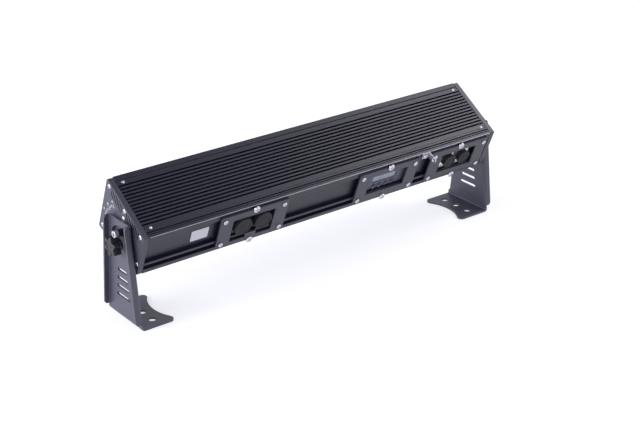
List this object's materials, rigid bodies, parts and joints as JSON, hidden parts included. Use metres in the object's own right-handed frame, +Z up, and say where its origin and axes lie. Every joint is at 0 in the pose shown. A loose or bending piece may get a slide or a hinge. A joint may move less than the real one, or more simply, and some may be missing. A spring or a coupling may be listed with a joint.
{
  "type": "outdoor wall washer light",
  "caption": "Black outdoor LED bar light with a finned housing, tilting between two folded brackets with lobed clamp knobs.",
  "frame": {"origin": "centre of the footprint of the whole light, on the floor plane that its feet stand on", "axes": "+X along the bar towards the data connectors, -Y out of the connector side, +Z up"},
  "size_m": [0.6784, 0.1372, 0.1993],
  "materials": {
    "black_anodised": "black anodised, satin",
    "black_powder_coat": "fine textured black powder coat",
    "bright_screws": "bright zinc",
    "black_steel": "black oxide",
    "black_plastic": "moulded satin black",
    "black_rubber": "matt black rubber",
    "nickel_die_cast": "satin nickel",
    "clear_glass": "clear toughened glass",
    "clear_window": "clear gloss plastic",
    "clear_lens": "clear moulded lens",
    "pale_film": "plain pale film",
    "board_green": "solder mask",
    "board_white": "white solder mask",
    "emitter_yellow": "phosphor",
    "zinc_case": "folded zinc sheet",
    "lcd_grey": "pale display"
  },
  "bodies": {
    "left_bracket": {"left_bracket": "black_powder_coat", "left_knob_washer": "bright_screws"},
    "bar": {"bezel_screws": "bright_screws", "blank_plate": "pale_film", "board_standoffs": "bright_screws", "connector_screws": "bright_screws", "control_board": "board_green", "data_input": "nickel_die_cast", "data_output": "nickel_die_cast", "data_plate": "black_powder_coat", "display_panel": "black_plastic", "display_plate": "black_powder_coat", "display_window": "clear_window", "end_plate_screws": "bright_screws", "fin_face_screws": "bright_screws", "front_bezel": "black_powder_coat", "front_glass": "clear_glass", "glass_gasket": "black_rubber", "housing": "black_anodised", "lcd_module": "lcd_grey", "led_board": "board_white", "led_emitters": "emitter_yellow", "left_end_gasket": "black_rubber", "left_end_plate": "black_powder_coat", "left_friction_washer": "black_plastic", "left_guide_screw": "bright_screws", "left_guide_sleeve": "black_steel", "lens_holder": "black_plastic", "lenses": "clear_lens", "plate_corner_screws": "bright_screws", "plate_edge_screws": "bright_screws", "plate_spacers": "bright_screws", "power_inlet": "black_plastic", "power_outlet": "black_plastic", "power_plate": "black_powder_coat", "power_supply": "zinc_case", "pressure_vent": "black_plastic", "right_end_gasket": "black_rubber", "right_end_plate": "black_powder_coat", "right_friction_washer": "black_plastic", "right_guide_screw": "bright_screws", "right_guide_sleeve": "black_steel", "safety_eye": "bright_screws", "safety_eye_screw": "bright_screws"},
    "right_bracket": {"right_bracket": "black_powder_coat", "right_knob_washer": "bright_screws"},
    "left_knob": {"left_knob": "black_plastic", "left_knob_stud": "bright_screws"},
    "right_knob": {"right_knob": "black_plastic", "right_knob_stud": "bright_screws"},
    "power_inlet_cap": {"power_inlet_cap": "black_rubber"},
    "power_outlet_cap": {"power_outlet_cap": "black_rubber"},
    "data_input_cap": {"data_input_cap": "black_rubber"},
    "data_output_cap": {"data_output_cap": "black_rubber"},
    "menu_button_1": {"menu_button_1": "black_plastic"},
    "menu_button_2": {"menu_button_2": "black_plastic"},
    "menu_button_3": {"menu_button_3": "black_plastic"},
    "menu_button_4": {"menu_button_4": "black_plastic"}
  },
  "joints": [
    {"name": "tilt", "type": "hinge", "parent": "left_bracket", "child": "bar", "pos_m": [-0.321, 0.00335, 0.116], "axis": [1, 0, 0], "range_deg": [-72, 28]},
    {"name": "right_bracket_tilt", "type": "hinge", "parent": "bar", "child": "right_bracket", "pos_m": [0.321, 0.00335, 0.116], "axis": [1, 0, 0], "range_deg": [-28, 72]},
    {"name": "left_knob_turn", "type": "hinge", "parent": "bar", "child": "left_knob", "pos_m": [-0.332, 0.00335, 0.116], "axis": [1, 0, 0], "continuous": true},
    {"name": "right_knob_turn", "type": "hinge", "parent": "bar", "child": "right_knob", "pos_m": [0.332, 0.00335, 0.116], "axis": [1, 0, 0], "continuous": true},
    {"name": "power_inlet_cap_pull", "type": "slide", "parent": "bar", "child": "power_inlet_cap", "axis": [0, -0.9272, -0.3746], "range_m": [0, 0.014]},
    {"name": "power_outlet_cap_pull", "type": "slide", "parent": "bar", "child": "power_outlet_cap", "axis": [0, -0.9272, -0.3746], "range_m": [0, 0.014]},
    {"name": "data_input_cap_pull", "type": "slide", "parent": "bar", "child": "data_input_cap", "axis": [0, -0.9272, -0.3746], "range_m": [0, 0.014]},
    {"name": "data_output_cap_pull", "type": "slide", "parent": "bar", "child": "data_output_cap", "axis": [0, -0.9272, -0.3746], "range_m": [0, 0.014]},
    {"name": "menu_button_1_press", "type": "slide", "parent": "bar", "child": "menu_button_1", "axis": [0, 0.9272, 0.3746], "range_m": [0, 0.001], "stiffness_N_per_m": 600},
    {"name": "menu_button_2_press", "type": "slide", "parent": "bar", "child": "menu_button_2", "axis": [0, 0.9272, 0.3746], "range_m": [0, 0.001], "stiffness_N_per_m": 600},
    {"name": "menu_button_3_press", "type": "slide", "parent": "bar", "child": "menu_button_3", "axis": [0, 0.9272, 0.3746], "range_m": [0, 0.001], "stiffness_N_per_m": 600},
    {"name": "menu_button_4_press", "type": "slide", "parent": "bar", "child": "menu_button_4", "axis": [0, 0.9272, 0.3746], "range_m": [0, 0.001], "stiffness_N_per_m": 600}
  ],
  "couplings": [
    {"joint": "right_bracket_tilt", "follows": "tilt", "ratio": -1}
  ]
}
